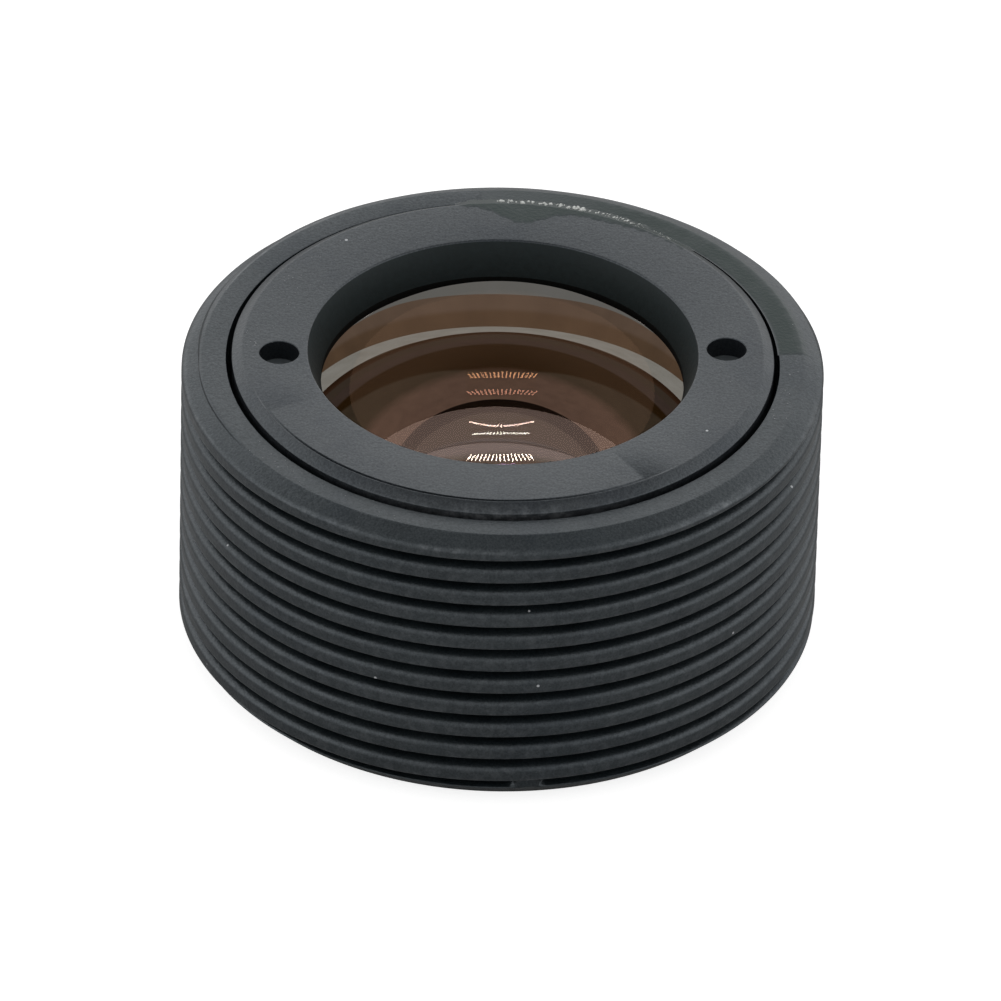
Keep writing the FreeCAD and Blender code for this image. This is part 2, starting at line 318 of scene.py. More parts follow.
# Noise scales are per metre; a grain of 14000 is about 0.07 mm across.
MOTTLE = 900.0
SMUDGE = 480.0
BLASTED_GRAIN = 14000.0
SPECKLE = 24000.0
BARE_PATCHES = 5200.0
DUST_CELLS = 5000.0
DUST_SIZE = 0.14
GRAIN_BUMP = 0.35
GRAIN_HEIGHT = 0.02 * MM
ANODISED_INDEX = 1.7
# Pale metal for wear, and for painted highlight and painted light on the barrel's thread.
BARE_METAL_AND_HIGHLIGHT = (0.21, 0.22, 0.23, 1.0)
SETTLED_DUST = (0.45, 0.46, 0.47, 1.0)
COOL_SHEEN = (0.84, 0.93, 1.0, 1.0)
DULL_SHEEN = (0.72, 0.81, 0.9, 1.0)
BLACK = (0.0, 0.0, 0.0, 1.0)
MOST_GLOW = 0.9


class Nodes:
    """A material's node tree, with short calls to fill it."""

    def __init__(self, name):
        self.material = bpy.data.materials.new(name)
        self.material.use_nodes = True
        self.tree = self.material.node_tree
        self.tree.nodes.clear()
        self.out = self.add("ShaderNodeOutputMaterial")

    def add(self, kind, inputs=None, **settings):
        node = self.tree.nodes.new(kind)
        for key, value in settings.items():
            setattr(node, key, value)
        for key, value in (inputs or {}).items():
            self.feed(node.inputs[key], value)
        return node

    def feed(self, socket, value):
        if isinstance(value, bpy.types.NodeSocket):
            self.tree.links.new(value, socket)
        else:
            socket.default_value = value

    def place(self):
        """Object coordinates, in metres."""
        return self.add("ShaderNodeTexCoord").outputs["Object"]

    def noise(self, scale, detail, roughness):
        node = self.add("ShaderNodeTexNoise", {
            "Vector": self.place(), "Scale": scale, "Detail": detail, "Roughness": roughness})
        return node.outputs["Fac"]

    def math(self, operation, a, b=0.0):
        return self.add("ShaderNodeMath", {0: a, 1: b}, operation=operation).outputs[0]

    def ramp(self, value, low, high, to_low=0.0, to_high=1.0):
        """The value stretched so that low becomes to_low and high becomes to_high."""
        node = self.add("ShaderNodeMapRange", {
            "Value": value, "From Min": low, "From Max": high, "To Min": to_low,
            "To Max": to_high})
        return node.outputs["Result"]

    def mix(self, share, a, b):
        node = self.add("ShaderNodeMix", data_type="RGBA")
        self.feed(node.inputs["Factor"], share)
        self.feed(node.inputs["A"], a)
        self.feed(node.inputs["B"], b)
        return node.outputs["Result"]

    def bump(self, height, strength, distance):
        return self.add("ShaderNodeBump", {
            "Height": height, "Strength": strength, "Distance": distance}).outputs["Normal"]

    def attribute(self, name):
        return self.add("ShaderNodeAttribute", attribute_name=name).outputs["Fac"]

    def specks(self, scale, share, size):
        """1 on small grains scattered at random, on that share of the cells."""
        cells = self.add("ShaderNodeTexVoronoi", {"Vector": self.place(), "Scale": scale})
        chosen = self.math("LESS_THAN", self.add(
            "ShaderNodeSeparateColor", {0: cells.outputs["Color"]}).outputs[0], share)
        return self.math("MULTIPLY", chosen, self.math(
            "LESS_THAN", cells.outputs["Distance"], size))

    def finish(self, shader):
        self.tree.links.new(shader, self.out.inputs["Surface"])
        return self.material


def rgb(red, green, blue):
    return (red, green, blue, 1.0)


def anodised(name, dark, pale, roughness, wear_and_highlight, dust):
    """Black anodised aluminium: satin, slightly mottled, with a fine blasted grain."""
    n = Nodes(name)
    mottle = n.noise(MOTTLE, 4.0, 0.6)
    grain = n.noise(BLASTED_GRAIN, 2.0, 0.6)
    speckle = n.ramp(n.noise(SPECKLE, 3.0, 0.7), 0.35, 0.65, 0.75, 1.25)
    colour = n.mix(n.ramp(mottle, 0.35, 0.65), rgb(*dark), rgb(*pale))
    # The pale mix below is wear, and on the barrel also painted highlight and painted light.
    patches = n.ramp(n.noise(BARE_PATCHES, 4.0, 0.7), 0.45, 0.62, 0.25, 1.0)
    bare_and_lit = n.math("MULTIPLY", n.attribute("wear_and_highlight"), patches)
    colour = n.mix(n.math("MULTIPLY", bare_and_lit, wear_and_highlight), colour, BARE_METAL_AND_HIGHLIGHT)
    colour = n.mix(n.specks(DUST_CELLS, dust, DUST_SIZE), colour, SETTLED_DUST)
    smudge = n.ramp(n.noise(SMUDGE, 5.0, 0.65), 0.52, 0.62, 0.0, 0.8)
    shader = n.add("ShaderNodeBsdfPrincipled", {
        "Base Color": colour,
        "Roughness": n.ramp(mottle, 0.3, 0.7, roughness - 0.04, roughness + 0.05),
        "Normal": n.bump(grain, GRAIN_BUMP, GRAIN_HEIGHT),
        "Specular IOR Level": n.math("MULTIPLY", speckle, 0.5),
        "Specular Tint": n.mix(smudge, COOL_SHEEN, DULL_SHEEN),
        "IOR": ANODISED_INDEX})
    return n.finish(shader.outputs[0])


def matt_black(name, colour, roughness, gloss=0.5):
    """Matt black paint or film with a fine grain."""
    n = Nodes(name)
    grain = n.noise(9000.0, 3.0, 0.6)
    shader = n.add("ShaderNodeBsdfPrincipled", {
        "Base Color": n.mix(grain, rgb(*colour), rgb(*[c * 1.8 for c in colour])),
        "Roughness": n.ramp(grain, 0.3, 0.7, roughness - 0.05, roughness + 0.05),
        "Specular IOR Level": gloss,
        "Normal": n.bump(grain, 0.2, GRAIN_HEIGHT)})
    return n.finish(shader.outputs[0])


def glue_film(name):
    """Dark adhesive, thinning at its edges until the metal under it shows."""
    n = Nodes(name)
    uneven = n.ramp(n.noise(2600.0, 4.0, 0.6), 0.3, 0.7, 0.8, 1.1)
    cover = n.math("MULTIPLY", n.attribute("cover"), uneven)
    grain = n.noise(BLASTED_GRAIN, 2.0, 0.6)
    shader = n.add("ShaderNodeBsdfPrincipled", {
        "Base Color": n.mix(cover, rgb(0.004, 0.006, 0.007), rgb(0.012, 0.021, 0.020)),
        "Roughness": 0.375,
        "Normal": n.bump(grain, GRAIN_BUMP, GRAIN_HEIGHT),
        "IOR": ANODISED_INDEX,
        "Specular IOR Level": n.ramp(cover, 0.0, 1.0, 0.5, 0.2),
        "Specular Tint": n.mix(cover, COOL_SHEEN, rgb(0.85, 1.0, 0.97))})
    return n.finish(shader.outputs[0])


def coated_glass(name, tint, shine, clear=(0.97, 0.96, 0.95)):
    """Clear glass whose coating reflects a small constant share of the light in one colour.

    Only the total reflection inside the glass keeps its full strength.
    """
    n = Nodes(name)
    veil = n.noise(500.0, 3.0, 0.5)
    through = n.add("ShaderNodeBsdfRefraction", {
        "Color": rgb(*clear), "IOR": GLASS_INDEX, "Roughness": 0.0})
    gloss = n.add("ShaderNodeBsdfGlossy", {
        "Color": n.mix(veil, rgb(*tint), rgb(*[c * 0.9 for c in tint])), "Roughness": 0.0})
    fresnel = n.add("ShaderNodeFresnel", {"IOR": GLASS_INDEX}).outputs[0]
    share = n.math("MAXIMUM", n.ramp(fresnel, 0.95, 1.0), shine)
    shader = n.add("ShaderNodeMixShader", {0: share, 1: through.outputs[0], 2: gloss.outputs[0]})
    return n.finish(shader.outputs[0])


def banded_glass(name, bands, along, glow):
    """Ground glass whose tone changes in soft steps with its height or its radius.

    Its glow stands for the light that scatters inside the lens.
    A band is (where it begins in millimetres, fall of that height per millimetre from the
    middle plane, half width of the step, colour).
    """
    # The glow is painted light; on the front glass's edge the tone steps are painted light
    # and reflection as they look from the front.
    n = Nodes(name)
    grain = n.ramp(n.noise(4000.0, 4.0, 0.6), 0.3, 0.7, 0.85, 1.1)
    split = n.add("ShaderNodeSeparateXYZ", {0: n.place()})
    where = split.outputs["Z"]
    if along == "radius":
        squares = [n.math("MULTIPLY", split.outputs[c], split.outputs[c]) for c in "XY"]
        where = n.math("SQRT", n.math("ADD", *squares))
    aside = n.math("ABSOLUTE", split.outputs["X"])
    colour = rgb(*bands[0][3])
    for start, fall, soft, tone in bands[1:]:
        level = n.math("ADD", where, n.math("MULTIPLY", aside, fall))
        share = n.ramp(level, (start - soft) * MM, (start + soft) * MM)
        colour = n.mix(share, colour, rgb(*tone))
    shader = n.add("ShaderNodeBsdfPrincipled", {
        "Base Color": n.mix(MOST_GLOW, colour, BLACK), "Emission Color": colour,
        "Emission Strength": n.math("MULTIPLY", grain, glow), "Roughness": 0.6})
    return n.finish(shader.outputs[0])


def ground_glass(name, pale, dark, scale, glow=0.0):
    """Ground glass; the glow stands for the light that scatters inside the lens."""
    n = Nodes(name)
    grain = n.noise(scale, 4.0, 0.6)
    colour = n.mix(grain, rgb(*pale), rgb(*dark))
    shader = n.add("ShaderNodeBsdfPrincipled", {
        "Base Color": n.mix(min(glow, MOST_GLOW), colour, BLACK),
        "Emission Color": colour, "Emission Strength": glow,
        "Roughness": n.ramp(grain, 0.3, 0.7, 0.5, 0.7)})
    return n.finish(shader.outputs[0])


barrel_black = anodised(
    "barrel_black", (0.002, 0.004, 0.005), (0.005, 0.008, 0.009), 0.37, wear_and_highlight=0.7, dust=0.012)
ring_black = anodised(
    "ring_black", (0.004, 0.005, 0.006), (0.007, 0.008, 0.010), 0.34, wear_and_highlight=0.35, dust=0.008)
bore_black = matt_black("bore_black", (0.006, 0.005, 0.005), 0.6)
spacer_black = matt_black("spacer_black", (0.010, 0.008, 0.007), 0.45)
cone_black = matt_black("cone_black", (0.008, 0.013, 0.014), 0.5, 0.25)
lip_black = matt_black("lip_black", (0.001, 0.0014, 0.0014), 0.6, 0.15)
# The spanner holes' floors are grey, lighter than the black ring: painted light.
spanner_floor_painted_light = matt_black("spanner_floor_light", (0.07, 0.08, 0.085), 0.6)
stop_black = matt_black("stop_black", (0.006, 0.006, 0.006), 0.6)
front_coat = coated_glass("front_glass", (1.0, 0.58, 0.36), 0.018, (0.3, 0.3, 0.3))
hollow_coat = coated_glass("hollow_glass", (0.3, 0.22, 0.17), 0.004, (0.6, 0.6, 0.6))
inner_coat = coated_glass("inner_glass", (0.9, 0.7, 0.85), 0.02)
filter_coat = coated_glass("filter_glass", (1.0, 0.35, 0.3), 0.025)
# The three ground faces below glow at strength 1, so their tone is almost wholly painted light.
rim_ground = ground_glass("ground_rim", (0.68, 0.66, 0.60), (0.42, 0.39, 0.33), 5000.0, 1.0)
rim_brown = banded_glass("brown_band", [
    (0, 0, 0, (0.214, 0.128, 0.073)), (3.19, 0, 0.012, (0.27, 0.178, 0.123))], "radius", 1.0)
bevel_ground = ground_glass("ground_bevel", (0.37, 0.36, 0.34), (0.31, 0.30, 0.27), 4000.0, 1.0)
# The front glass's outer rim and edge: its tone steps by height and by distance from the
# middle plane are painted light and reflection, and its glow is painted light.
edge_painted_light = banded_glass("ground_edge_painted_light", [
    (0, 0, 0, (0.36, 0.33, 0.34)), (2.28, 0, 0.03, (0.147, 0.093, 0.03)),
    (3.85, 0.56, 0.05, (0.33, 0.32, 0.26)), (3.65, 0, 0.2, (0.84, 0.68, 0.63))], "height", 1.0)
glue = glue_film("lock_glue")
glue_dark = matt_black("filter_glue", (0.012, 0.02, 0.018), 0.38, 0.4)
crumb_white = ground_glass("crumb_white", (0.75, 0.76, 0.74), (0.5, 0.52, 0.5), 9000.0)
dust_grey = ground_glass("dust_grey", (0.45, 0.46, 0.47), (0.3, 0.31, 0.32), 9000.0)


# Barrel


def above_groove(azimuth, height):
    """Height over the middle of the nearest groove."""
    phase = (height - (BARREL_TOP - FIRST_GROOVE)) / PITCH - azimuth / math.tau
    return (phase - np.round(phase)) * PITCH


def skin_radius(azimuth, height):
    """Outside of the barrel, with the thread cut between its two chamfers."""
    above = above_groove(azimuth, height)
    flank = ROOT + (CREST - ROOT) * np.abs(above) / GROOVE_HALF_WIDTH
    radius = smooth_min(flank, CREST, np.where(above > 0, CREST_LOWER_ROUND, CREST_UPPER_ROUND))
    front = CREST - FRONT_CHAMFER_WIDTH * (
        1 - (BARREL_TOP - height) / FRONT_CHAMFER_DROP)
    rear = CREST - REAR_CHAMFER + height
    away = np.abs((azimuth - math.radians(BRIDGE_AZIMUTH) + math.pi) % math.tau - math.pi)
    near = np.clip((math.radians(BRIDGE_HALF_WIDTH) - away) * CREST / BRIDGE_SLOPE, 0, 1)
    bridge = ROOT + (CREST - ROOT - BRIDGE_SETBACK) * near
    filled = np.where(height < BRIDGE_TOP, bridge, ROOT)
    radius = smooth_min(np.maximum(radius, filled), front, CHAMFER_ROUND)
    return smooth_min(radius, rear, CHAMFER_ROUND)


def wear_and_highlight_at(azimuth, height):
    """Wear and painted light on the threads' lower edges and tops; most rubbed is the front edge."""
    above = above_groove(azimuth, height)
    chamfer_foot = BARREL_TOP - FRONT_CHAMFER_DROP
    sideways = np.cos(azimuth) ** 2
    # The lines on the lower edges are wear and painted highlight, stronger at the sides; the paler
    # thread tops are painted light, weaker at the sides.
    edge = np.exp(-((above - GROOVE_HALF_WIDTH) / EDGE_WEAR_AND_HIGHLIGHT_WIDTH) ** 2)
    edge = edge * (1 + EDGE_HIGHLIGHT_SIDES * sideways)
    crest_light = np.clip((np.abs(above) - GROOVE_HALF_WIDTH) / CREST_PAINTED_LIGHT_FADE, 0, 1)
    crest_light = np.where(height < chamfer_foot, crest_light, 0)
    first = np.exp(-((height - chamfer_foot) / FRONT_WEAR_WIDTH) ** 2)
    scuffs = sum(np.exp(-((np.degrees(azimuth) - centre) / width) ** 2)
                 for centre, width in SCUFFS)
    worn_and_lit = (EDGE_WEAR_AND_HIGHLIGHT * edge + (CREST_PAINTED_LIGHT - CREST_PAINTED_LIGHT_SIDES * sideways) * crest_light
            + (FRONT_WEAR + SCUFF_WEAR * scuffs) * first)
    return np.clip(worn_and_lit, 0, 1)


def make_barrel():
    """The threaded skin as a grid along the helix, joined to the turned inside."""
    levels = GROOVE_LEVELS + [PITCH - level for level in reversed(GROOVE_LEVELS[1:])]
    per_pitch = len(levels)
    turns = int(BARREL_TOP / PITCH) + 4
    base = BARREL_TOP - FIRST_GROOVE - PITCH * (turns - 2)
    azimuth = math.tau * np.arange(COLUMNS) / COLUMNS
    rows = np.array([base + PITCH * turn + level for turn in range(turns) for level in levels])
    heights = np.clip(rows[None, :] + PITCH * azimuth[:, None] / math.tau, 0, BARREL_TOP)
    around = np.repeat(azimuth[:, None], len(rows), 1)
    radius = skin_radius(around, heights)
    verts = np.stack([radius * np.cos(around), radius * np.sin(around), heights], -1)
    worn_and_lit = list(wear_and_highlight_at(around, heights).reshape(-1))
    verts = [tuple(v) for v in verts.reshape(-1, 3)]
    faces = []
    count = len(rows)
    for column in range(COLUMNS):
        following = (column + 1) % COLUMNS
        shift = per_pitch if following == 0 else 0
        for row in range(count - 1):
            if row + 1 + shift >= count:
                continue
            corners = [(column, row), (following, row + shift),
                       (following, row + 1 + shift), (column, row + 1)]
            spans = [heights[c] for c in corners]
            if max(spans) <= 0 or min(spans) >= BARREL_TOP:
                continue
            faces.append([c * count + r for c, r in corners])
    outside = len(faces)
    chamfer_end = float(skin_radius(np.array(0.0), np.array(BARREL_TOP)))
    foot_end = float(skin_radius(np.array(0.0), np.array(0.0)))
    ring_bore = RING + RING_CLEARANCE
    ring_seat = RING_FOOT - RING_SEAT_DROP
    inside = rounded([
        (chamfer_end, BARREL_TOP), (chamfer_end - CHAMFER_ROUND, BARREL_TOP),
        (MOUTH, BARREL_TOP, MOUTH_ROUND), (MOUTH, BARREL_TOP - MOUTH_DEPTH),
        (ring_bore, BARREL_TOP - MOUTH_DEPTH), (ring_bore, ring_seat),
        (BORE, ring_seat), (BORE, SHOULDER), (INNER_BORE, SHOULDER), (INNER_BORE, SEAT),
        (SEAT_HOLE, SEAT), (SEAT_HOLE, FILTER_RECESS), (INNER_BORE, FILTER_RECESS),
        (INNER_BORE, 0, MOUTH_ROUND), (foot_end, 0)])
    start = len(verts)
    for index, (r, z) in enumerate(inside):
        verts.extend(ring_of(r, z, COLUMNS))
        worn_and_lit.extend([0.0] * COLUMNS)
        if index == 0:
            continue
        for k in range(COLUMNS):
            following = (k + 1) % COLUMNS
            low, high = start + (index - 1) * COLUMNS, start + index * COLUMNS
            faces.append((low + k, high + k, high + following, low + following))
    numbers = [0] * outside
    for first, second in zip(inside, inside[1:]):
        middle = (first[0] + second[0]) / 2
        height = (first[1] + second[1]) / 2
        in_bore = REAR_EDGE < height < RING_FOOT and middle < RING_REACH
        numbers.extend([1 if in_bore else 0] * COLUMNS)
    obj = new_piece("barrel_skin", verts, faces, [barrel_black, bore_black], numbers)
    give_values(obj, "wear_and_highlight", worn_and_lit)
    weld(obj)
    weigh_normals(obj)
    settle(obj, "barrel")


make_barrel()


# Retaining ring


def make_ring():
    """The ring with its cone, bevelled rim and two blind spanner holes."""
    section = rounded([
        (RING - RIM_WIDTH, RING_TOP, RIM_ROUND), (RING, RING_TOP - RIM_DROP, RIM_ROUND),
        (RING, RING_FOOT), (BORE, RING_FOOT), (BORE, LIP_TOP), (LIP, LIP_TOP, LIP_ROUND),
        (LIP, LIP_TOP + LIP_WALL), (RING_OPENING, RING_TOP, OPENING_ROUND)])
    line = [(LINE_RADIUS + step, RING_TOP) for step in LINE_STEPS]

    def zones(radius, height):
        if radius > RING_OPENING - 0.02 or height < LIP_TOP:
            return 0
        return 1 if height < LIP_TOP + LIP_WALL else 2

    obj = turned("ring_body", line + section, [ring_black, lip_black, cone_black, spanner_floor_painted_light],
                 RING_SEGMENTS, zones, False)
    middle = math.radians(LINE_MIDDLE)
    for row in (1, 2):
        for vert in obj.data.vertices[row * RING_SEGMENTS:(row + 1) * RING_SEGMENTS]:
            away = abs((math.atan2(vert.co.y, vert.co.x) - middle + math.pi) % math.tau - math.pi)
            depth = max(0.0, 1 - (math.degrees(away) / LINE_HALF) ** 2)
            vert.co.z -= LINE_DEPTH * depth * MM
    worn_and_lit = []
    for vert in obj.data.vertices:
        radius = math.hypot(vert.co.x, vert.co.y) / MM
        azimuth = math.degrees(math.atan2(vert.co.y, vert.co.x))
        away = (azimuth - RIM_WEAR_MIDDLE) / RIM_WEAR_HALF
        edge = math.exp(-((radius - RIM_WEAR_RADIUS) / RIM_WEAR_WIDTH) ** 2)
        on_rim = vert.co.z / MM > RING_TOP - RIM_WIDTH
        worn_and_lit.append(edge * math.exp(-away ** 2) if on_rim else 0.0)
    give_values(obj, "wear_and_highlight", worn_and_lit)
    work = bmesh.new()
    work.from_mesh(obj.data)
    top_edges = [e for e in work.edges if e.is_boundary]
    for side in (0, math.pi):
        angle = math.radians(SPANNER_ANGLE) + side
        centre = Vector((SPANNER_CIRCLE * math.cos(angle), SPANNER_CIRCLE * math.sin(angle), 0)) * MM
        loops = []
        wall = SPANNER_HOLE - SPANNER_BEVEL
        for radius, height in ((SPANNER_HOLE, RING_TOP), (wall, RING_TOP - SPANNER_BEVEL_DROP),
                               (wall, RING_TOP - SPANNER_DEPTH)):
            loops.append([work.verts.new(centre + Vector(p) * MM)
                          for p in ring_of(radius, height, SPANNER_SEGMENTS)])
        for high, low in zip(loops, loops[1:]):
            for k in range(SPANNER_SEGMENTS):
                work.faces.new((high[k], high[k - 1], low[k - 1], low[k])).smooth = True
        tip = work.verts.new(centre + Vector((0, 0, RING_TOP - SPANNER_DEPTH)) * MM)
        for k in range(SPANNER_SEGMENTS):
            work.faces.new((loops[-1][k], loops[-1][k - 1], tip)).material_index = 3
        work.edges.ensure_lookup_table()
        top_edges += [work.edges.get((loops[0][k], loops[0][k - 1]))
                      for k in range(SPANNER_SEGMENTS)]
    bmesh.ops.triangle_fill(work, use_beauty=True, use_dissolve=False, edges=top_edges,
                            normal=Vector((0, 0, 1)))
    for face in work.faces:
        face.smooth = True
    bmesh.ops.recalc_face_normals(work, faces=work.faces)
    sharpen(work)
    work.to_mesh(obj.data)
    work.free()
    weigh_normals(obj)
    settle(obj, "retaining_ring")


make_ring()


# Glass


def make_front_lens():
    """The domed front glass with its ground edge, bevels and flat, and its deep hollow.

    Its section starts with the front, so the first faces are the front's.
    """
    apex = LIP_TOP + sag(FRONT_CURVE, LIP)
    front = cap(LENS, apex - sag(FRONT_CURVE, LENS), FRONT_CURVE, LENS_STEPS)
    hollow = cap(HOLLOW, HOLLOW_RIM, HOLLOW_CURVE, LENS_STEPS)
    flat = [(LENS, BEVEL_TOP), (FLAT_OUT, FLAT_OUT_TOP), (FLAT_IN, LENS_FLAT_TOP)]
    section = list(reversed(front)) + flat + hollow

    def zones(radius, height):
        if FLAT_IN < radius < FLAT_OUT and height < FLAT_OUT_TOP:
            return 3
        if height < HOLLOW_RIM and radius < FLAT_IN:
            return 2
        if radius > FLAT_OUT and height < BEVEL_TOP:
            return 5
        return 4 if radius > EDGE_START else 0

    coats = [front_coat, hollow_coat, rim_ground, rim_brown, edge_painted_light, bevel_ground]
    obj = turned("front_glass", section, coats, LENS_SEGMENTS, zones)
    front_faces = (len(front) - 1) * LENS_SEGMENTS
    for face in obj.data.polygons[front_faces:]:
        if face.material_index == 0:
            face.material_index = 1
    weigh_normals(obj)
    settle(obj, "front_lens")


def make_second_lens():
    """The domed glass that stands into the front one's hollow."""
    dome = cap(SECOND_DOME, SHOULDER, SECOND_CURVE, SECOND_STEPS)
    section = list(reversed(dome)) + [(INNER_LENS, SHOULDER), (INNER_LENS, SECOND_FOOT),
                                      (0, SECOND_FOOT)]
    obj = turned("second_glass", section, [inner_coat], SECOND_SEGMENTS, closed=False)
    weigh_normals(obj)
    settle(obj, "second_lens")


make_front_lens()
make_second_lens()

for node, material in (("front_spacer", spacer_black), ("aperture_stop", stop_black),
                       ("rear_lens", inner_coat), ("rear_filter", filter_coat),
                       ("filter_adhesive", glue_dark)):
    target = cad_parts[node]
    target.data.materials.clear()
    target.data.materials.append(material)


# Locking adhesive and dust


def ground_height(radius):
    """Surface under the adhesive: ring face, its bevel, the gap and the barrel's front."""
    return np.interp(radius, [LIP, LIP + 0.02, RING_OPENING, RING - RIM_WIDTH, RING, MOUTH,
                              CREST - FRONT_CHAMFER_WIDTH, CREST],
                     [LIP_TOP, LIP_TOP + LIP_WALL, RING_TOP, RING_TOP, RING_TOP - RIM_DROP,
                      BARREL_TOP, BARREL_TOP, BARREL_TOP - FRONT_CHAMFER_DROP])


def fillet_height(radius):
    """Top of the adhesive that fills the gap at the back."""
    return np.interp(radius, [RING - RIM_WIDTH, MOUTH + 0.05], [RING_TOP, RING_TOP - 0.12])


FILM_TURN = 108.0
FILM_TURN_STEP = 0.5
FILM_INNER = 4.05
FILM_OUTER = 5.96
FILM_STEP = 0.02
FILM_HEIGHT = 0.012
FILM_SINK = 0.003
# Azimuths and radii of the film's parts, and over how much each of them fades in and out
TONGUE_TURN = (46.0, 101.0)
TONGUE_FADE = (2.0, 3.0)
TONGUE_INNER = 4.8
TONGUE_OUTER = 5.2
TONGUE_TIP = (86.0, 8.0, 0.6)
TONGUE_SHOULDER = (68.0, 9.0, 0.12)
SMEAR_TURN = (4.0, 100.0)
SMEAR_FADE = (0.7, 20.0)
SMEAR_INNER = 5.14
SMEAR_OUTER = 5.75
SMEAR_COVER = 0.55
FILLET_TURN = 58.0
FILLET_FADE = 6.0

GRAIN_SIDES = 6
GRAIN_SPREAD = (0.4, 1.0)
GRAIN_JAGS = (0.6, 1.1)
GRAIN_LIFT = 0.3
GRAIN_PEAK = 0.4


def make_lock_adhesive():
    """A thin film: a tongue on the ring, a filled stretch of the gap and a smear on the barrel."""
    degrees = np.arange(0.0, FILM_TURN, FILM_TURN_STEP)
    radii = np.arange(FILM_INNER, FILM_OUTER, FILM_STEP)
    turn, radius = np.meshgrid(degrees, radii, indexing="ij")
    ragged = 0.02 * np.sin(turn * 1.7) + 0.015 * np.sin(turn * 4.1 + 1.3)
    inner = TONGUE_INNER
    for middle, width, reach in (TONGUE_TIP, TONGUE_SHOULDER):
        inner = inner - reach * np.exp(-((turn - middle) / width) ** 2)
    tongue = np.minimum.reduce([
        (radius - inner - ragged) / 0.12, (TONGUE_OUTER + ragged - radius) / 0.04,
        (turn - TONGUE_TURN[0]) / TONGUE_FADE[0], (TONGUE_TURN[1] - turn) / TONGUE_FADE[1]])
    smear = np.minimum.reduce([
        (radius - SMEAR_INNER) / 0.03, (SMEAR_OUTER + ragged - radius) / 0.15,
        (turn - SMEAR_TURN[0]) / SMEAR_FADE[0], (SMEAR_TURN[1] - turn) / SMEAR_FADE[1]])
    cover = np.clip(np.maximum(tongue, SMEAR_COVER * smear), 0, 1)
    height = ground_height(radius) + FILM_HEIGHT * cover * (2 - cover) - FILM_SINK
    filled = np.clip(np.minimum(tongue, (turn - FILLET_TURN) / FILLET_FADE), 0, 1)
    height += filled * np.clip(fillet_height(radius) - height, 0, None)
    verts = [(r * math.cos(a), r * math.sin(a), z) for a, r, z in zip(
        np.radians(turn).ravel(), radius.ravel(), height.ravel())]
    across = len(radii)
    faces = []
    for row in range(len(degrees) - 1):
        for column in range(across - 1):
            if cover[row:row + 2, column:column + 2].max() > 0:
                start = row * across + column
                faces.append((start, start + 1, start + across + 1, start + across))
    obj = new_piece("glue_film", verts, faces, [glue])
    give_values(obj, "cover", cover.ravel())
    work = bmesh.new()
    work.from_mesh(obj.data)
    bmesh.ops.delete(work, geom=[v for v in work.verts if not v.link_faces], context="VERTS")
    bmesh.ops.recalc_face_normals(work, faces=work.faces)
    work.to_mesh(obj.data)
    work.free()
    settle(obj, "lock_adhesive")


def make_grains(name, fields, material, surface):
    """Small irregular grains lying on a surface whose height goes by the radius.

    A field is (count, lowest azimuth, highest azimuth, inner radius, outer radius, size,
    stretch along the radius).
    """
    verts, faces = [], []
    for count, low, high, inner, outer, size, stretch in fields:
        for _ in range(count):
            angle = math.radians(random.uniform(low, high))
            radius = random.uniform(inner, outer)
            spread = size * random.uniform(*GRAIN_SPREAD)
            centre = (radius * math.cos(angle), radius * math.sin(angle),
                      float(surface(radius)) + GRAIN_LIFT * spread)
            start = len(verts)
            for side in range(GRAIN_SIDES):
                step = math.tau * side / GRAIN_SIDES
                far = spread * random.uniform(*GRAIN_JAGS)
                out, along = far * stretch * math.cos(step), far * math.sin(step)
                verts.append((centre[0] + out * math.cos(angle) - along * math.sin(angle),
                              centre[1] + out * math.sin(angle) + along * math.cos(angle),
                              float(surface(radius + out))))
            verts.append((centre[0], centre[1], centre[2] + GRAIN_PEAK * spread))
            faces += [(start + side, start + (side + 1) % GRAIN_SIDES, start + GRAIN_SIDES)
                      for side in range(GRAIN_SIDES)]
            faces.append(tuple(start + side for side in reversed(range(GRAIN_SIDES))))
    obj = new_piece(name, verts, faces, [material])
    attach(obj, "root")


make_lock_adhesive()
make_grains("glue_crumbs", [
    (36, 73, 92, 4.93, 5.1, 0.055, 2.2), (34, 58, 80, 4.95, 5.1, 0.024, 3.0),
    (50, 50, 70, 4.9, 5.02, 0.012, 2.0)],
    crumb_white, fillet_height)
make_grains("dust", [
    (26, 120, 175, 4.3, 5.0, 0.014, 1), (20, -20, 15, 5.2, 5.6, 0.02, 1),
    (16, 150, 185, 3.9, 4.9, 0.012, 1), (22, -170, 170, 3.7, 5.5, 0.01, 1),
    (6, 178, 186, 4.6, 4.7, 0.02, 1), (24, -150, -110, 5.2, 5.6, 0.012, 1),
    (12, -5, 40, 3.35, 3.42, 0.014, 1)],
    dust_grey, ground_height)


# Floor, light and camera


TABLE_HALF = 3000.0
TABLE_DROP = 0.02
TABLE_SHOWN = 0.8
LIGHT_ABOVE = (0.65, 0.95, 1.2, 0.35)
LIGHT_IN_FRONT = (-0.9, -0.3, 0.5, 1.0)


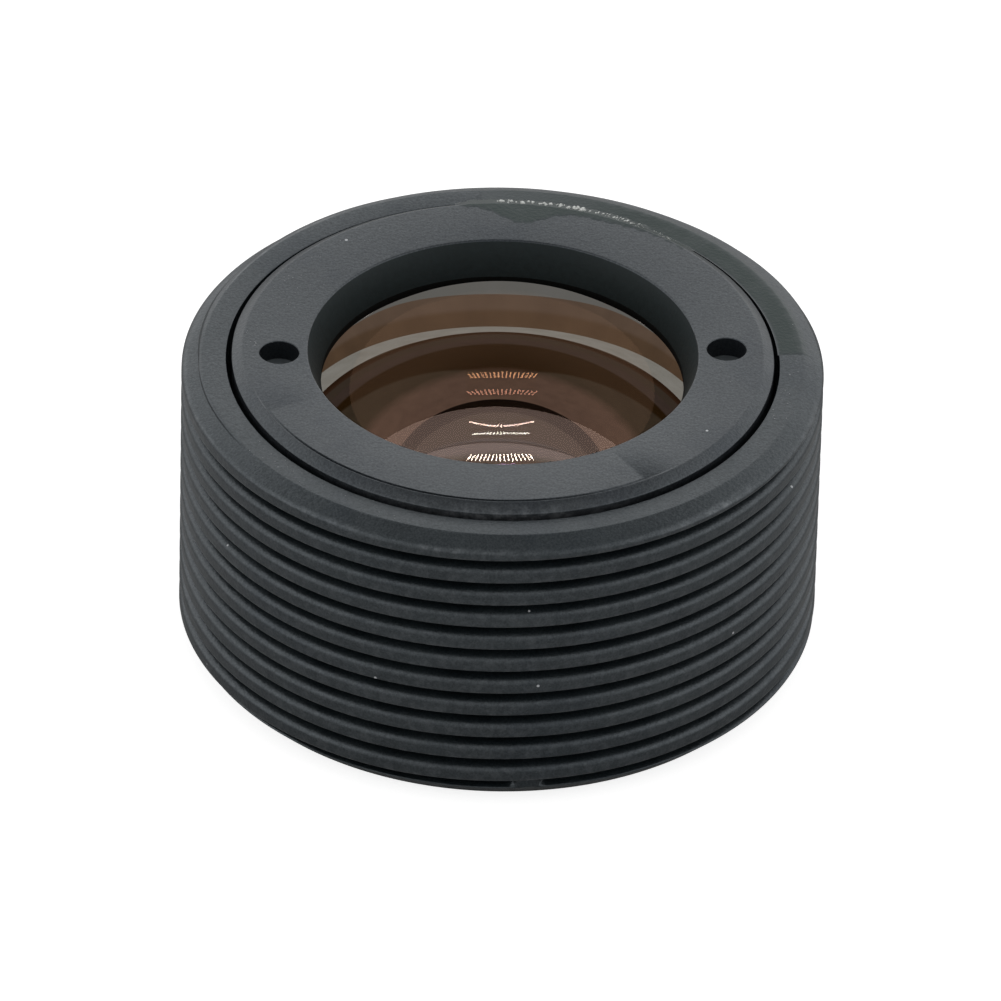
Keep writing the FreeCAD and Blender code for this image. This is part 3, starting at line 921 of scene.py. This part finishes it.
def make_floor():
    """A white table that keeps the shadow and shows near white to the camera."""
    n = Nodes("table_white")
    path = n.add("ShaderNodeLightPath")
    paper = n.noise(40.0, 3.0, 0.5)
    shown = n.add("ShaderNodeEmission", {
        "Color": rgb(1, 1, 1),
        "Strength": n.math("MULTIPLY", path.outputs["Is Camera Ray"], TABLE_SHOWN)})
    shade = n.add("ShaderNodeBsdfDiffuse", {
        "Color": n.mix(paper, rgb(0.49, 0.49, 0.49), rgb(0.51, 0.51, 0.51))})
    both = n.add("ShaderNodeAddShader", {0: shown.outputs[0], 1: shade.outputs[0]})
    material = n.finish(both.outputs[0])
    half = TABLE_HALF
    corners = [(-half, -half, 0), (half, -half, 0), (half, half, 0), (-half, half, 0)]
    floor = new_piece("table", corners, [(0, 1, 2, 3)], [material])
    floor.location.z = -TABLE_DROP * MM


def soft_step(tree, source, numbers):
    """A smooth step between two values of a direction."""
    node = tree.nodes.new("ShaderNodeMapRange")
    node.interpolation_type = "SMOOTHSTEP"
    for key, value in zip(("From Min", "From Max", "To Min", "To Max"), numbers):
        node.inputs[key].default_value = value
    tree.links.new(source, node.inputs["Value"])
    return node.outputs["Result"]


def make_world():
    """Soft studio light, dimmer straight above and in front; the camera sees white."""
    world = bpy.data.worlds.new("studio")
    bpy.context.scene.world = world
    world.use_nodes = True
    tree = world.node_tree
    tree.nodes.clear()
    out = tree.nodes.new("ShaderNodeOutputWorld")
    place = tree.nodes.new("ShaderNodeTexCoord")
    split = tree.nodes.new("ShaderNodeSeparateXYZ")
    tree.links.new(place.outputs["Generated"], split.inputs[0])
    level = tree.nodes.new("ShaderNodeMath")
    level.operation = "MULTIPLY"
    tree.links.new(soft_step(tree, split.outputs["Z"], LIGHT_ABOVE), level.inputs[0])
    tree.links.new(soft_step(tree, split.outputs["Y"], LIGHT_IN_FRONT), level.inputs[1])
    soft = tree.nodes.new("ShaderNodeBackground")
    soft.inputs["Color"].default_value = rgb(1, 1, 1)
    tree.links.new(level.outputs[0], soft.inputs["Strength"])
    white = tree.nodes.new("ShaderNodeBackground")
    white.inputs["Color"].default_value = rgb(1, 1, 1)
    white.inputs["Strength"].default_value = 1.0
    path = tree.nodes.new("ShaderNodeLightPath")
    mix = tree.nodes.new("ShaderNodeMixShader")
    tree.links.new(path.outputs["Is Camera Ray"], mix.inputs[0])
    tree.links.new(soft.outputs[0], mix.inputs[1])
    tree.links.new(white.outputs[0], mix.inputs[2])
    tree.links.new(mix.outputs[0], out.inputs[0])


LAMP_DISTANCE = 300.0
LAMP_COUNT = 17
LAMP_WIDTH = 2.8
ROW_TURN = 0.5
LAMP_AIM = 4.0
LAMP_ROWS = [
    # lean, span and rise of the ends in degrees, length, radiance, colour
    (25.4, 21.2, 0.9, 17.0, 22, (1.0, 0.8, 0.6)),
    (16.1, 22.8, 0.9, 15.0, 17, (1.0, 0.75, 0.8)),
    (-1.0, 23.0, 2.9, 8.0, 120, (0.6, 0.75, 1.0)),
    (-4.5, 21.0, 0.5, 7.0, 125, (0.45, 0.75, 1.0)),
    (-15.8, 25.0, 1.0, 17.0, 185, (0.5, 0.75, 1.0)),
    (-18.9, 12.0, 0.0, 4.0, 60, (0.3, 0.3, 1.0)),
]
PANEL_HEIGHT = 380.0
PANEL_NEAR = 57.0
PANEL_FAR = -420.0
PANEL_HALF_WIDTH = 530.0
PANEL_RADIANCE = 7.8
PANEL_COLOUR = (0.61, 0.74, 1.0)


def new_lamp(name, place, direction, size, radiance, colour):
    """A flat lamp that only the front glass mirrors."""
    data = bpy.data.lights.new(name, "AREA")
    data.shape = "RECTANGLE"
    data.size, data.size_y = size
    data.color = colour
    data.energy = radiance * math.pi * size[0] * size[1]
    lamp = bpy.data.objects.new(name, data)
    bpy.context.scene.collection.objects.link(lamp)
    lamp.location = place
    lamp.rotation_mode = "QUATERNION"
    lamp.rotation_quaternion = direction.to_track_quat("Z", "Y")
    lamp.visible_diffuse = False
    lamp.visible_transmission = False
    lamp.light_linking.receiver_collection = lamp_lit


def make_panel():
    """A dim panel overhead, whose straight edge the glass shows as the top of its grey dome."""
    middle = Vector((0, (PANEL_NEAR + PANEL_FAR) / 2, PANEL_HEIGHT)) * MM
    size = (2 * PANEL_HALF_WIDTH * MM, (PANEL_NEAR - PANEL_FAR) * MM)
    new_lamp("panel", middle, Vector((0, 0, 1)), size, PANEL_RADIANCE, PANEL_COLOUR)


def make_lamp_rows():
    """Rows of small lamps overhead, which the glass shows as rows of coloured dots."""
    aim = Vector((0, 0, LAMP_AIM)) * MM
    for row, (lean, span, rise, length, radiance, colour) in enumerate(LAMP_ROWS):
        for k in range(LAMP_COUNT):
            share = 2 * k / (LAMP_COUNT - 1) - 1
            side = math.radians(span / 2) * share
            tilt = math.radians(lean + rise * share * share + ROW_TURN * share)
            direction = Vector((math.sin(side), math.cos(side) * math.sin(tilt),
                                math.cos(side) * math.cos(tilt)))
            new_lamp(f"lamp_{row}_{k}", aim + direction * LAMP_DISTANCE * MM, direction,
                     (LAMP_WIDTH * MM, length * MM), radiance, colour)


CAMERA_DISTANCE = 266.32
CAMERA_ELEVATION = 35.436
CAMERA_ROLL = 1.48
CAMERA_TARGET = (0, 0, 2.92)
CAMERA_FOCAL = 511.5
CAMERA_SHIFT = (0.00093, -0.01277)
SENSOR_WIDTH = 36.0
CLIP_START = 10.0


def make_camera():
    """The camera that the photo was fitted with."""
    data = bpy.data.cameras.new("photo_camera")
    data.sensor_width = SENSOR_WIDTH
    data.lens = CAMERA_FOCAL
    data.shift_x, data.shift_y = CAMERA_SHIFT
    data.clip_start = CLIP_START * MM
    camera = bpy.data.objects.new("photo_camera", data)
    bpy.context.scene.collection.objects.link(camera)
    lift = math.radians(CAMERA_ELEVATION)
    back = Vector((0, -math.cos(lift), math.sin(lift)))
    right = Vector((1, 0, 0))
    up = back.cross(right)
    roll = math.radians(CAMERA_ROLL)
    tilted_right = right * math.cos(roll) + up * math.sin(roll)
    tilted_up = up * math.cos(roll) - right * math.sin(roll)
    place = (Vector(CAMERA_TARGET) + back * CAMERA_DISTANCE) * MM
    turn = Matrix((tilted_right, tilted_up, back)).transposed().to_4x4()
    camera.matrix_world = Matrix.Translation(place) @ turn
    bpy.context.scene.camera = camera


make_floor()
make_world()
lamp_lit = bpy.data.collections.new("lamp_lit")
lamp_lit.objects.link(bpy.data.objects["front_glass"])
make_lamp_rows()
make_panel()
make_camera()
bpy.context.scene.view_settings.view_transform = "Standard"
